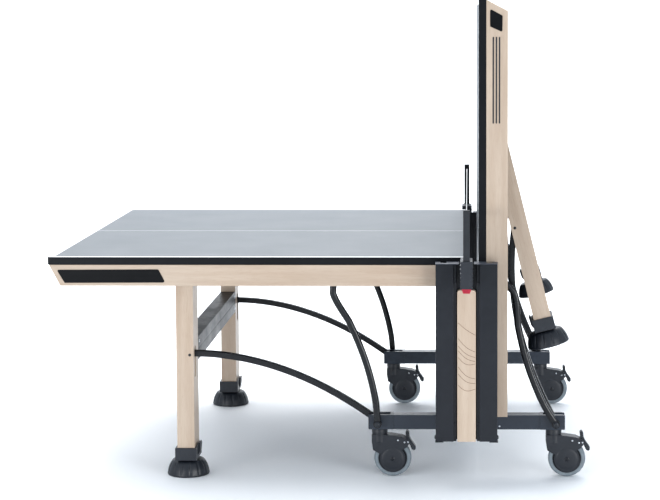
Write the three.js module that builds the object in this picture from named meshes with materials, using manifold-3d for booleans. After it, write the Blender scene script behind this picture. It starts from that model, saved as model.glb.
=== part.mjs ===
// A folding table tennis table on a wheeled chassis. Each half turns on a roller
// axle that runs down a guide in the two centre columns, its legs fold towards the
// net as it rises, and curved stay arms and lift arms tie it to the base beams.
// Millimetres, +Z up. The net stands in the plane x = netX, and the long sides face
// -Y (front) and +Y (rear). The left half is down, and the right half is raised.
import * as THREE from 'three';
import { mergeVertices } from 'three/addons/utils/BufferGeometryUtils.js';
import Module from 'manifold-3d';

const wasm = await Module();
wasm.setup();

// ---- driving dimensions ----------------------------------------------------
const gap = 0.3;                // running gap between touching pieces
const netX = 481;               // the net plane, with the origin under the whole object
const halfWidth = 762.5;        // half of the 1525 mm playing width
const halfLength = 1370;        // one half of the 2740 mm playing length
const surfaceZ = 760;
const topThick = 25;
const seam = 3;                 // each half stops this far from the net plane

const apronDepth = 70;
const apronThick = 22;
const endSlope = 37;            // the outer end leans in by this over the apron's depth

// u runs outward from the net plane, v down from the playing surface
const roller = { u: 75, v: 36, radius: 18, rod: 7, bore: 7.6, downZ: surfaceZ - 36, raisedZ: 305 };
const legHinge = { u: 912, v: 33, pin: 4, bore: 4.5, knuckle: 7.4 };
const legFold = THREE.MathUtils.degToRad(76);
const liftLug = { u: 436, v: 82 };
const railInner = { u0: 465, u1: 505 };
const railOuter = { u0: 976, u1: 1012 };
const railDepth = 35;
const railThick = 21;            // the inclined end rail, measured level

const leg = { wide: 58, y0: 123, y1: 233, top: 3, wood: 627, socket: 669 };
const crossbar = { d0: 269, d1: 349 };
const slot = { y0: 147, y1: 177, deep: 30, d0: 287, d1: 392 };

const armPivot = { x: 297, z: 187, radius: 6 };
const stayPin = { x: 925, z: 415 };
const stayTurn = THREE.MathUtils.degToRad(81.9);
const liftTurn = THREE.MathUtils.degToRad(36);
const stayLayer = { y0: 150, y1: 174 };
const liftLayer = { y0: 97, y1: 119 };

const beam = { y0: 134, y1: 184, z0: 163, z1: 211, end: 329 };
const crossTube = { wide: 50, z0: 211.3, z1: 251.3 };
const column = { x: 100, y0: -66, y1: -8, z0: 166, z1: 745, wall: 3 };
const insert = { x: 30, y0: -69, y1: -30.3, z0: 166.3, z1: 662 };
const holder = {
  x: 20.5, y0: -172, y1: -30.3, z0: 680, z1: 767, tongueZ: 744, socketZ: 683,
  ribs: 6, ribPitch: 13.5, ribTall: 8, ribDeep: 3,
};
const button = { top: 15.5, low: 11, tall: 14, deep: 24 };
const post = { y: -152.5, half: 10.5, wall: 3, z0: 690, z1: 930 };
const net = { z0: 762, z1: 912.5, half: 1.5, reach: -140, notchY: -60, notchZ: 776 };

const stem = { x: 292, y: 159 };
const wheel = { radius: 62.5, half: 16, bore: 6.4, trail: 44 };
const axleRadius = 6;

const LEFT = -1;
const RIGHT = 1;
const ENDS = [[LEFT, 'left'], [RIGHT, 'right']];
const SIDES = [[-1, 'front'], [1, 'rear']];

// ---- finishes --------------------------------------------------------------
const finish = (color, roughness, metalness) =>
  () => new THREE.MeshStandardMaterial({ color, roughness, metalness });
const beech = finish(0xdccab8, 0.55, 0);
const playing = finish(0xb2bac0, 0.6, 0);
const darkSteel = finish(0x2b3238, 0.4, 0.4);
const darkPlastic = finish(0x2a2e34, 0.5, 0);
const tyreGrey = finish(0x8f9aa1, 0.7, 0);
const brightSteel = finish(0xb9bec4, 0.3, 0.9);
const red = finish(0xc83250, 0.4, 0);
const netBlack = finish(0x1d2126, 0.9, 0);

// ---- helpers ---------------------------------------------------------------
function toSolid(geometry) {
  const bare = geometry.clone();
  bare.deleteAttribute('normal');
  bare.deleteAttribute('uv');
  const merged = mergeVertices(bare, 1e-4);
  return new wasm.Manifold(new wasm.Mesh({
    numProp: 3,
    vertProperties: merged.attributes.position.array,
    triVerts: new Uint32Array(merged.index.array),
  }));
}

function toGeometry(solid) {
  const { vertProperties, triVerts } = solid.getMesh();
  const geometry = new THREE.BufferGeometry();
  geometry.setAttribute('position', new THREE.BufferAttribute(vertProperties, 3));
  geometry.setIndex(new THREE.BufferAttribute(triVerts, 1));
  geometry.computeVertexNormals();
  return geometry;
}

const join = (...pieces) => toGeometry(pieces.map(toSolid).reduce((a, b) => a.add(b)));
const cut = (base, ...tools) =>
  toGeometry(tools.map(toSolid).reduce((a, b) => a.subtract(b), toSolid(base)));

function block(x0, x1, y0, y1, z0, z1) {
  const box = new THREE.BoxGeometry(Math.abs(x1 - x0), Math.abs(y1 - y0), Math.abs(z1 - z0));
  return box.translate((x0 + x1) / 2, (y0 + y1) / 2, (z0 + z1) / 2);
}

// An outline in x and z, given as points or as a shape, between two values of y.
function plate(outline, ya, yb) {
  const shape = outline instanceof THREE.Shape
    ? outline
    : new THREE.Shape(outline.map(([x, z]) => new THREE.Vector2(x, z)));
  const depth = Math.abs(yb - ya);
  const slab = new THREE.ExtrudeGeometry(shape, { depth, bevelEnabled: false, curveSegments: 8 });
  return slab.rotateX(Math.PI / 2).translate(0, Math.max(ya, yb), 0);
}

// A round bar along Y, centred at (x, z).
function barY(x, z, radius, ya, yb, segments = 16) {
  const bar = new THREE.CylinderGeometry(radius, radius, Math.abs(yb - ya), segments);
  return bar.translate(x, (ya + yb) / 2, z);
}

// A bar of rectangular section along a curve in the xz plane.
function sweep(curve, width, height, steps) {
  const [w, h] = [width / 2, height / 2];
  const corners = [[w, -h], [w, h], [-w, h], [-w, -h]];
  const section = new THREE.Shape(corners.map(([x, y]) => new THREE.Vector2(x, y)));
  return new THREE.ExtrudeGeometry(section, { extrudePath: curve, steps, bevelEnabled: false });
}

// A point measured inward from the table's long side.
const across = (side, inset) => side * (halfWidth - inset);

const model = new THREE.Group();
model.position.x = netX;

function add(parent, name, geometry, material) {
  const mesh = new THREE.Mesh(geometry, material());
  mesh.name = name;
  parent.add(mesh);
  return mesh;
}

// ---- base: beams with clevis ends, and the tube between the columns ------------
function baseBeam(side) {
  const y = (inset) => across(side, inset);
  const solids = [block(-beam.end, beam.end, y(beam.y0), y(beam.y1), beam.z0, beam.z1)];
  const slots = [];
  for (const [end] of ENDS) {
    const top = beam.z1 + 1;
    const outline = [[246, beam.z0], [beam.end - 3, beam.z0], [beam.end, beam.z0 + 3],
      [beam.end, top - 8], [beam.end - 2.3, top - 2.3], [beam.end - 8, top], [246, top]];
    solids.push(plate(outline.map(([x, z]) => [end * x, z]), y(beam.y0 - 3), y(beam.y1 + 3)));
    slots.push(block(end * 256, end * (beam.end + 5), y(slot.y0), y(slot.y1), 170, beam.z1 + 9));
  }
  const body = cut(join(...solids), ...slots);
  const pins = ENDS.map(([end]) =>
    barY(end * armPivot.x, armPivot.z, armPivot.radius, y(liftLayer.y0 - 5), y(beam.y1), 16));
  const heads = ENDS.map(([end]) =>
    barY(end * armPivot.x, armPivot.z, 9, y(liftLayer.y0 - 6), y(liftLayer.y0 - 1), 12));
  return join(body, ...pins, ...heads);
}

function crossTubeShape() {
  const reach = halfWidth + 26.7;
  return block(-crossTube.wide / 2, crossTube.wide / 2, -reach, reach, crossTube.z0, crossTube.z1);
}

// ---- centre columns: two folded channels joined by a web -----------------------
function columnShape(side) {
  const t = column.wall;
  const [outer, inner] = [column.y0, column.y1];
  const step = outer + 8;
  // one channel, from its wide inner lip round to the web, in x and y
  const channel = [
    [66, inner], [66, inner - t], [36, inner - t], [36, step + t], [45, step + t],
    [45, outer + t], [97, outer + t], [97, inner - t], [84, inner - t], [84, inner],
    [column.x, inner], [column.x, outer], [42, outer], [42, step], [33, step],
  ];
  const web = -30;
  const right = [...channel, [33, web], [-33, web]];
  const left = channel.map(([x, y]) => [-x, y]).reverse();
  const outline = [...right, ...left, [-33, inner], [-33, web + t], [33, web + t], [33, inner]];
  const shape = new THREE.Shape(outline.map(([x, y]) => new THREE.Vector2(x, across(side, y))));
  const height = column.z1 - column.z0;
  return new THREE.ExtrudeGeometry(shape, { depth: height, bevelEnabled: false })
    .translate(0, 0, column.z0);
}

function insertShape(side) {
  return block(-insert.x, insert.x, across(side, insert.y0), across(side, insert.y1), insert.z0, insert.z1);
}

// ---- net, its channel posts, open towards the table, and their holders ------------
function holderShape(side) {
  const y = (inset) => across(side, inset);
  const x = holder.x;
  // the head's two edges carry grip ribs
  const right = [];
  for (let i = 0; i < holder.ribs; i += 1) {
    const z = holder.z0 + i * holder.ribPitch;
    const inner = x - holder.ribDeep;
    right.push([x, z], [x, z + holder.ribTall]);
    right.push([inner, z + holder.ribTall + 1.5], [inner, z + holder.ribPitch - 1.5]);
  }
  right.push([x, holder.z1 - 5], [x - 2, holder.z1]);
  const left = right.map(([rx, z]) => [-rx, z]).reverse();
  const head = plate([...right, ...left], y(holder.y0), y(column.y0 - 4));
  const tongue = block(-x, x, y(column.y0 - 6), y(holder.y1), holder.z0, holder.tongueZ);
  const room = post.half + 0.6;
  const socket = block(-room, room, y(post.y - room), y(post.y + room),
    holder.socketZ, holder.z1 + 5);
  return cut(join(head, tongue), socket);
}

function postShape(side) {
  const y = (inset) => across(side, inset);
  const [h, t] = [post.half, post.wall];
  const bar = block(-h, h, y(post.y - h), y(post.y + h), post.z0, post.z1);
  const hollow = block(t - h, h - t, y(post.y - h + t), y(post.y + h + 1), post.z0 - 5, post.z1 - t);
  return cut(bar, hollow);
}

// One flat sheet, cut away at both ends so that it clears the holders.
function netShape() {
  const end = halfWidth - net.reach;
  const notch = halfWidth - net.notchY;
  const outline = [[-end, net.notchZ], [-notch, net.notchZ], [-notch, net.z0], [notch, net.z0],
    [notch, net.notchZ], [end, net.notchZ], [end, net.z1], [-end, net.z1]];
  const shape = new THREE.Shape(outline.map(([y, z]) => new THREE.Vector2(y, z)));
  const sheet = new THREE.ExtrudeGeometry(shape, { depth: 2 * net.half, bevelEnabled: false });
  const upright = new THREE.Matrix4().makeBasis(
    new THREE.Vector3(0, 1, 0), new THREE.Vector3(0, 0, 1), new THREE.Vector3(1, 0, 0));
  return sheet.applyMatrix4(upright).translate(-net.half, 0, 0);
}

function buttonShape(side) {
  const top = holder.z0 - gap;
  const low = holder.z0 - button.tall;
  const outline = [[-button.top, top], [-button.low, low], [button.low, low], [button.top, top]];
  return plate(outline, across(side, holder.y0), across(side, holder.y0 + button.deep));
}

// ---- casters ---------------------------------------------------------------------
const wheelSteps = 28;
const pedalPivot = { x: 96, z: 119, hub: 7, bore: 3.3, half: 12 };

function forkShape() {
  const cx = wheel.trail;
  const cz = wheel.radius;
  const cheekIn = wheel.half + 2;
  const cheekOut = cheekIn + 6;
  const housing = new THREE.CylinderGeometry(26.5, 26.5, 47, 24).rotateX(Math.PI / 2).translate(0, 0, 139.2);
  // neck and round cheek that covers the hub
  const cheek = new THREE.Shape();
  cheek.moveTo(-26, 118);
  cheek.lineTo(-22, 92);
  cheek.lineTo(cx - 43 * Math.cos(0.35), cz + 43 * Math.sin(0.35));
  cheek.absarc(cx, cz, 43, Math.PI - 0.35, 2 * Math.PI + 0.75, false);
  cheek.lineTo(cx + 47, cz + 38);
  cheek.lineTo(pedalPivot.x + 4, pedalPivot.z - 6);
  cheek.lineTo(pedalPivot.x + 4, pedalPivot.z + 4);
  cheek.lineTo(cx + 30, cz + 74);
  cheek.lineTo(cx, 141);
  cheek.lineTo(26, 143);
  cheek.lineTo(-26, 143);
  cheek.closePath();
  const body = plate(cheek, -cheekOut, cheekOut);
  const well = new THREE.CylinderGeometry(wheel.radius + 4, wheel.radius + 4, 2 * cheekIn, wheelSteps)
    .translate(cx, 0, cz);
  const pocket = block(pedalPivot.x - pedalPivot.hub - 1, pedalPivot.x + 30,
    -pedalPivot.half - gap, pedalPivot.half + gap, 90, 150);
  const shell = cut(join(body, housing), well, pocket);
  const pin = barY(pedalPivot.x, pedalPivot.z, pedalPivot.bore - gap, -cheekIn, cheekIn, 12);
  return join(shell, barY(cx, cz, axleRadius, -cheekIn - 2, cheekIn + 2, 16), pin);
}

function wheelShape() {
  const [r, h, b] = [wheel.radius, wheel.half, wheel.bore];
  const profile = [[b, -h], [r - 8, -h], [r - 1.5, -h + 6], [r, 0], [r - 1.5, h - 6], [r - 8, h],
    [b, h], [b, -h]];
  return new THREE.LatheGeometry(profile.map(([x, y]) => new THREE.Vector2(x, y)), wheelSteps);
}

function pedalShape() {
  // bent rocker about its pivot at the origin: a hub between the fork's cheeks, and two lobes
  const lobes = [
    [-4, 5], [-6, 14], [-5, 31], [-1, 32], [3, 15], [7, 2], [21, -23], [19, -28], [14, -27], [5, -7], [0, -6],
  ];
  const { hub, half, bore } = pedalPivot;
  const body = join(plate(lobes, -half, half), barY(0, 0, hub, -half, half, 20));
  return cut(body, barY(0, 0, bore, -half - 5, half + 5, 12));
}

function caster(end, endName, side, sideName) {
  const group = new THREE.Group();
  group.position.set(end * stem.x, across(side, stem.y), 0);
  model.add(group);
  const name = `${endName}_${sideName}`;
  add(group, `caster_fork_${name}`, forkShape(), darkPlastic);
  const turning = add(group, `caster_wheel_${name}`, wheelShape(), tyreGrey);
  turning.position.set(wheel.trail, 0, wheel.radius);
  const pedal = add(group, `brake_pedal_${name}`, pedalShape(), darkPlastic);
  pedal.position.set(pedalPivot.x, 0, pedalPivot.z);
}

// ---- one half: top, aprons, end rail, under frame, roller axle ------------------
// Half frame: x = end * (u - roller.u), z = roller.v - v, about the roller's axis.
function tableHalf(end, endName, fold) {
  const x = (u) => end * (u - roller.u);
  const z = (v) => roller.v - v;
  const part = (name) => `${name}_${endName}`;
  const raised = roller.downZ + (roller.raisedZ - roller.downZ) * fold;

  const half = new THREE.Group();
  half.position.set(end * roller.u, 0, raised);
  half.rotation.y = -end * fold * Math.PI / 2;
  model.add(half);

  add(half, part('top'), block(x(seam), x(halfLength), -halfWidth, halfWidth, z(0), z(topThick)), playing);

  // aprons, with the outer end leaning in and a bearing hole for the roller axle
  const v0 = topThick + gap;
  const v1 = topThick + apronDepth;
  const lean = (v) => halfLength - 4 - endSlope * (v - topThick) / apronDepth;
  for (const [side, sideName] of SIDES) {
    const board = plate(
      [[x(seam + 1), z(v0)], [x(lean(v0)), z(v0)], [x(lean(v1)), z(v1)], [x(seam + 1), z(v1)]],
      across(side, 0), across(side, apronThick));
    const bore = barY(0, 0, roller.bore, across(side, -5), across(side, apronThick + 5));
    add(half, `apron_${endName}_${sideName}`, cut(board, bore), beech);
  }

  // inclined end rail between the aprons
  const railIn = halfWidth - apronThick - gap;
  add(half, part('end_rail'), plate(
    [[x(lean(v0)), z(v0)], [x(lean(v1)), z(v1)],
      [x(lean(v1) - railThick), z(v1)], [x(lean(v0) - railThick), z(v0)]],
    -railIn, railIn), beech);

  // under frame: two cross rails and a spine, with lugs for the lift arms and legs
  const v2 = v0 + railDepth;
  const frame = [
    block(x(railInner.u0), x(railInner.u1), -railIn, railIn, z(v0), z(v2)),
    block(x(railOuter.u0), x(railOuter.u1), -railIn, railIn, z(v0), z(v2)),
    block(x(railInner.u1 - 5), x(railOuter.u0 + 5), -22, 22, z(v0), z(v2)),
  ];
  for (const [side] of SIDES) {
    const y = (inset) => across(side, inset);
    frame.push(plate(
      [[x(420), z(72)], [x(420), z(94)], [x(452), z(98)], [x(505), z(60)], [x(505), z(v0)], [x(465), z(v0)]],
      y(liftLayer.y1 + 3), y(liftLayer.y1 + 10)));
    for (const inset of [leg.y0 - 10, leg.y1 + 2]) {
      frame.push(plate(
        [[x(904), z(v0)], [x(904), z(38)], [x(908), z(42)], [x(980), z(50)], [x(990), z(v0)]],
        y(inset), y(inset + 8)));
    }
    frame.push(barY(x(legHinge.u), z(legHinge.v), legHinge.pin, y(leg.y0 - 8), y(leg.y1 + 8), 12));
  }
  add(half, part('under_frame'), join(...frame), darkSteel);

  // roller axle through both aprons, with a roller in each column's guide
  const axleEnd = halfWidth + 54;
  const rollerY = [halfWidth + 20, halfWidth + 52];
  add(model, part('roller_axle'), join(
    barY(0, 0, roller.rod, -axleEnd, axleEnd, 16),
    barY(0, 0, roller.radius, ...rollerY, 24),
    barY(0, 0, roller.radius, -rollerY[0], -rollerY[1], 24)), brightSteel)
    .position.set(end * roller.u, 0, raised);

  legSet(end, endName, half, x(legHinge.u), z(legHinge.v), end * fold * legFold);
}

// ---- legs, their crossbar, sockets and levelling feet ---------------------------
// Leg frame: x = end * e across the leg, z = -d down it, about the hinge pin.
function legSet(end, endName, half, px, pz, turn) {
  const legs = new THREE.Group();
  legs.position.set(px, 0, pz);
  legs.rotation.y = turn;
  half.add(legs);
  for (const [side, sideName] of SIDES) {
    const y = (inset) => across(side, inset);
    const name = `${endName}_${sideName}`;
    const wood = block(0, end * leg.wide, y(leg.y0), y(leg.y1), -leg.top, -leg.wood);
    const knuckle = barY(0, 0, legHinge.knuckle, y(leg.y0), y(leg.y1), 16);
    const bore = barY(0, 0, legHinge.bore, y(leg.y0 - 5), y(leg.y1 + 5), 12);
    const pocket = block(-end, end * slot.deep, y(slot.y0), y(slot.y1), -slot.d0, -slot.d1);
    add(legs, `leg_${name}`, cut(join(wood, knuckle), bore, pocket), beech);
    add(legs, `foot_socket_${name}`, socketShape(end, side), darkPlastic);
    add(legs, `levelling_foot_${name}`, footShape(end, side), darkPlastic);
  }
  const inner = halfWidth - leg.y1 - gap;
  add(legs, `leg_crossbar_${endName}`,
    block(0, end * leg.wide, -inner, inner, -crossbar.d0, -crossbar.d1), darkSteel);
}

function socketShape(end, side) {
  const y = (inset) => across(side, inset);
  const mid = (leg.y0 + leg.y1) / 2;
  const top = -leg.wood - gap;
  const cup = block(-7 * end, (leg.wide + 7) * end, y(leg.y0 - 7), y(leg.y1 + 7), top, -leg.socket);
  // spring clip on the side that faces the net
  const clip = plate(
    [[-6, top - 34], [-13, top - 20], [-15, top + 4], [-13, top + 11], [-9, top + 9], [-6, top - 3]]
      .map(([x, z]) => [end * x, z]),
    y(mid - 22), y(mid + 22));
  const bore = new THREE.CylinderGeometry(6.6, 6.6, 60, 16).rotateX(Math.PI / 2)
    .translate(end * leg.wide / 2, y(mid), -leg.socket);
  return cut(join(cup, clip), bore);
}

function footShape(end, side) {
  const sole = legHinge.v - surfaceZ;
  const profile = [
    [0, 0], [68, 0], [70.5, 5], [68, 20], [62, 34], [53, 46], [42, 53], [6, 53], [6, 80], [0, 80],
  ];
  return new THREE.LatheGeometry(profile.map(([r, z]) => new THREE.Vector2(r, z)), 24)
    .rotateX(Math.PI / 2)
    .translate(end * leg.wide / 2, across(side, (leg.y0 + leg.y1) / 2), sole);
}

// ---- curved arms ------------------------------------------------------------------
const v3 = (x, z) => new THREE.Vector3(x, 0, z);

// Both curves are drawn with the half down, outward from the arm pivot.
const stayCurve = (end) => new THREE.CubicBezierCurve3(
  v3(0, 0),
  v3(end * 186, 138),
  v3(end * 398, 229),
  v3(end * (stayPin.x - armPivot.x), stayPin.z - armPivot.z));

const liftCurve = (end) => new THREE.CatmullRomCurve3([
  v3(0, 0), v3(end * 6, 76), v3(end * 38, 208), v3(end * 95, 348), v3(end * 146, 438),
  v3(end * (liftLug.u - armPivot.x), surfaceZ - liftLug.v - armPivot.z),
]);

function armShape(curve, layer, side, height, steps) {
  const [ya, yb] = [across(side, layer.y0), across(side, layer.y1)];
  const wide = Math.abs(yb - ya);
  const bar = sweep(curve, wide, height, steps).translate(0, (ya + yb) / 2, 0);
  const tip = curve.getPoint(1);
  const eye = barY(0, 0, 14, ya, yb, 20);
  const tipEye = barY(tip.x, tip.z, 11.5, ya, yb, 20);
  const bore = barY(0, 0, armPivot.radius + 0.4, across(side, layer.y0 - 5), across(side, layer.y1 + 5));
  return cut(join(bar, eye, tipEye), bore);
}

function arms(end, endName, raised) {
  const kinds = [
    ['stay_arm', stayCurve(end), stayLayer, 21, 16, stayTurn],
    ['lift_arm', liftCurve(end), liftLayer, 23, 18, liftTurn],
  ];
  for (const [kind, curve, layer, height, steps, turn] of kinds) {
    const group = new THREE.Group();
    group.position.set(end * armPivot.x, 0, armPivot.z);
    group.rotation.y = -end * turn * raised;
    model.add(group);
    for (const [side, sideName] of SIDES) {
      add(group, `${kind}_${endName}_${sideName}`, armShape(curve, layer, side, height, steps), darkSteel);
    }
  }
}

// ---- assembly ---------------------------------------------------------------------
for (const [side, sideName] of SIDES) {
  add(model, `base_beam_${sideName}`, baseBeam(side), darkSteel);
  add(model, `column_${sideName}`, columnShape(side), darkSteel);
  add(model, `column_insert_${sideName}`, insertShape(side), beech);
  add(model, `post_holder_${sideName}`, holderShape(side), darkPlastic);
  add(model, `net_post_${sideName}`, postShape(side), darkSteel);
  add(model, `release_button_${sideName}`, buttonShape(side), red);
  for (const [end, endName] of ENDS) caster(end, endName, side, sideName);
}
add(model, 'base_cross_tube', crossTubeShape(), darkSteel);
add(model, 'net', netShape(), netBlack);

tableHalf(LEFT, 'left', 0);
tableHalf(RIGHT, 'right', 1);
arms(LEFT, 'left', 0);
arms(RIGHT, 'right', 1);

const table = new THREE.Group();
table.add(model);
export default table;
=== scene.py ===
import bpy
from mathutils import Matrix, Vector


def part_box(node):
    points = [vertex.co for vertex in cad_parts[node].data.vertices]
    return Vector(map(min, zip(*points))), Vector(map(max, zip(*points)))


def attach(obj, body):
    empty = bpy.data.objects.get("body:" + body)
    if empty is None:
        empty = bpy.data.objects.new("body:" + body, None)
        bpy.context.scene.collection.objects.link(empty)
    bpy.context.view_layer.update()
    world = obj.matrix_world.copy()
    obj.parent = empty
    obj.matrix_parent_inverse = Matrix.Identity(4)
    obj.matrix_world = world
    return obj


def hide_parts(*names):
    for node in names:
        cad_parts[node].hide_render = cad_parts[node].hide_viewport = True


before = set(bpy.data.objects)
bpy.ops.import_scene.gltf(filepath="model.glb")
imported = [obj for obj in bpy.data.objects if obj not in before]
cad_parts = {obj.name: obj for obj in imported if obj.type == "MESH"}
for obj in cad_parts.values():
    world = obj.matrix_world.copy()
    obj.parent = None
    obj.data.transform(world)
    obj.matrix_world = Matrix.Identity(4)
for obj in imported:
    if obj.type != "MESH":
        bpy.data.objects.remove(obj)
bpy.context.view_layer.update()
# Looks for the folding table tennis table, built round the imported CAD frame.
# Outlines are in millimetres and become metres once, in piece(). +Z is up, the front is -Y.
import math

import bmesh
import bpy
from mathutils import Matrix, Vector

MM = 0.001
LEFT, RIGHT, FRONT, REAR = -1, 1, -1, 1
ENDS = {"left": LEFT, "right": RIGHT}
SIDES = {"front": FRONT, "rear": REAR}

# ---- driving dimensions (mm). u runs outward from the net, v down from the playing surface ----
HALF_WIDTH = 762.5
HALF_LENGTH = 1370
PLAY_HEIGHT = 760
SEAM = 3
ROLLER = {"u": 75, "v": 36, "radius": 18}
HINGE = {"u": 912, "v": 33}
LEG_FOLD = math.radians(76)
STAY_TURN = math.radians(81.9)
LIFT_TURN = math.radians(36)
ARM_PIVOT = {"x": 297, "z": 187}
STAY_PIN = {"x": 925, "z": 415}
LIFT_LUG = {"x": 436, "z": 678}
LEG = {"wide": 58, "in0": 123, "in1": 233}
BAR = {"d0": 269, "d1": 349}
STAY_LAYER = (150, 174)
LIFT_LAYER = (97, 119)
COLUMN = {"x1": 100, "in0": -66, "in1": -8, "z0": 166, "z1": 745}
INSERT = {"x": 30, "in0": -69, "in1": -30.3, "z0": 166.3, "z1": 662}
HOLDER = {"in0": -172, "z0": 680}
BEAM_INSET = 134
STEM = {"x": 292, "inset": 159}
WHEEL = {"radius": 62.5, "half": 16, "trail": 44}
PEDAL = {"x": 96, "z": 119, "hub": 7, "bore": 3.3, "half": 12}
LINE_WIDTH = 20
CENTRE_LINE = 3

low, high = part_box("net")
NET_X = (low.x + high.x) / 2 / MM
NET_Z = (low.z / MM, high.z / MM)
NET_Y = (low.y / MM, high.y / MM)


# ---- places: one matrix per moving group, at rest ---------------------------------------------
def shift(x, y, z):
    return Matrix.Translation(Vector((x, y, z)) * MM)


def turn(angle):
    return Matrix.Rotation(angle, 4, "Y")


def folded(end):
    """1 for the half that is raised at rest, 0 for the one that is down."""
    return 1 if end == RIGHT else 0


def axle_place(end_name):
    lo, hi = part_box(f"roller_axle_{end_name}")
    return Matrix.Translation((lo + hi) / 2)


def half_place(end_name):
    end = ENDS[end_name]
    return axle_place(end_name) @ turn(-end * folded(end) * math.pi / 2)


def top_place(end_name):
    """Origin on the playing surface at the net line."""
    end = ENDS[end_name]
    return half_place(end_name) @ shift(-end * ROLLER["u"], 0, ROLLER["v"])


def leg_place(end_name):
    """Origin at the leg hinge."""
    end = ENDS[end_name]
    hinge = top_place(end_name) @ shift(end * HINGE["u"], 0, -HINGE["v"])
    return hinge @ turn(end * folded(end) * LEG_FOLD)


def arm_place(end_name, full_turn):
    end = ENDS[end_name]
    return shift(NET_X + end * ARM_PIVOT["x"], 0, ARM_PIVOT["z"]) @ turn(-end * folded(end) * full_turn)


def caster_place(end_name, side_name):
    return shift(NET_X + ENDS[end_name] * STEM["x"], across(SIDES[side_name], STEM["inset"]), 0)


CHASSIS = shift(NET_X, 0, 0)


def across(side, inset):
    """y of a point measured inward from the table's long side."""
    return side * (HALF_WIDTH - inset)


# ---- mesh code ---------------------------------------------------------------------------------
def prism(outline, a, b, axis="y"):
    """An outline drawn out along an axis: (x, z) along y, (x, y) along z, or (y, z) along x."""
    put = {"x": lambda p, q, t: (t, p, q), "y": lambda p, q, t: (p, t, q),
           "z": lambda p, q, t: (p, q, t)}[axis]
    bm = bmesh.new()
    face = bm.faces.new([bm.verts.new(put(p, q, a)) for p, q in outline])
    made = bmesh.ops.extrude_face_region(bm, geom=[face])
    step = Vector(put(0, 0, b - a))
    bmesh.ops.translate(bm, vec=step, verts=[g for g in made["geom"] if isinstance(g, bmesh.types.BMVert)])
    bmesh.ops.recalc_face_normals(bm, faces=bm.faces)
    return bm


def box(x0, x1, y0, y1, z0, z1):
    return prism([(x0, z0), (x1, z0), (x1, z1), (x0, z1)], y0, y1)


def rounded(outline, radius, steps=5):
    """The outline with each corner as an arc. radius is one number or one per corner."""
    out, count = [], len(outline)
    for i, corner in enumerate(outline):
        r = radius[i] if isinstance(radius, (list, tuple)) else radius
        p = Vector(corner)
        if r <= 0:
            out.append(tuple(p))
            continue
        before = (Vector(outline[i - 1]) - p).normalized()
        after = (Vector(outline[(i + 1) % count]) - p).normalized()
        half = before.angle(after) / 2
        reach = r / math.tan(half)
        centre = p + (before + after).normalized() * (r / math.sin(half))
        start, stop = p + before * reach - centre, p + after * reach - centre
        sweep_angle = start.angle_signed(stop)
        for k in range(steps + 1):
            a = -sweep_angle * k / steps
            c, s = math.cos(a), math.sin(a)
            out.append((centre.x + c * start.x - s * start.y, centre.y + s * start.x + c * start.y))
    return out


def lathe(profile, steps=48, axis="z", ripple=None):
    """A profile of (radius, height) turned about an axis. ripple changes the radius round the turn.
    A profile that ends where it starts makes a ring, and any other is capped at both ends."""
    bm = bmesh.new()
    rings = []
    for r, h in profile:
        if r < 1e-6:
            rings.append([bm.verts.new((0, 0, h))])
            continue
        ring = []
        for k in range(steps):
            a = 2 * math.pi * k / steps
            rr = ripple(a, r, h) if ripple else r
            ring.append(bm.verts.new((rr * math.cos(a), rr * math.sin(a), h)))
        rings.append(ring)
    for one, two in zip(rings, rings[1:]):
        for k in range(steps):
            n = (k + 1) % steps
            corners = [one[k % len(one)], one[n % len(one)], two[n % len(two)], two[k % len(two)]]
            bm.faces.new(list(dict.fromkeys(corners)))
    if profile[0] == profile[-1]:
        bmesh.ops.remove_doubles(bm, verts=bm.verts, dist=1e-4)
    else:
        for ring in (rings[0], rings[-1]):
            if len(ring) > 1:
                bm.faces.new(ring)
    bmesh.ops.recalc_face_normals(bm, faces=bm.faces)
    if axis == "y":
        bmesh.ops.rotate(bm, verts=bm.verts, matrix=Matrix.Rotation(math.pi / 2, 3, "X"))
    return bm


def moved(bm, x=0, y=0, z=0):
    bmesh.ops.translate(bm, verts=bm.verts, vec=(x, y, z))
    return bm


def merged(*parts):
    """Several meshes as one, without cutting them."""
    whole = bmesh.new()
    for part in parts:
        mesh = bpy.data.meshes.new("part")
        part.to_mesh(mesh)
        part.free()
        whole.from_mesh(mesh)
        bpy.data.meshes.remove(mesh)
    return whole


def boolean(base, tool, operation):
    """base with tool cut away or joined on."""
    made = []
    for bm in (base, tool):
        mesh = bpy.data.meshes.new("boolean")
        bm.to_mesh(mesh)
        bm.free()
        made.append(bpy.data.objects.new("boolean", mesh))
        bpy.context.collection.objects.link(made[-1])
    modifier = made[0].modifiers.new("cut", "BOOLEAN")
    modifier.operation, modifier.solver, modifier.object = operation, "EXACT", made[1]
    bpy.context.view_layer.update()
    done = made[0].evaluated_get(bpy.context.evaluated_depsgraph_get())
    out = bmesh.new()
    out.from_mesh(done.to_mesh())
    done.to_mesh_clear()
    for o in made:
        bpy.data.meshes.remove(o.data)
    return out


def sweep(points, section):
    """A closed section of (y, n) pairs along points (x, z) in one upright plane."""
    bm = bmesh.new()
    rings = []
    for i, p in enumerate(points):
        ahead, back = Vector(points[min(i + 1, len(points) - 1)]), Vector(points[max(i - 1, 0)])
        t = (ahead - back).normalized()
        normal = Vector((-t.y, t.x))
        rings.append([bm.verts.new((p[0] + normal.x * n, y, p[1] + normal.y * n)) for y, n in section])
    count = len(section)
    for one, two in zip(rings, rings[1:]):
        for k in range(count):
            bm.faces.new((one[k], one[(k + 1) % count], two[(k + 1) % count], two[k]))
    bm.faces.new(rings[0])
    bm.faces.new(rings[-1])
    bmesh.ops.recalc_face_normals(bm, faces=bm.faces)
    return bm


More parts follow.
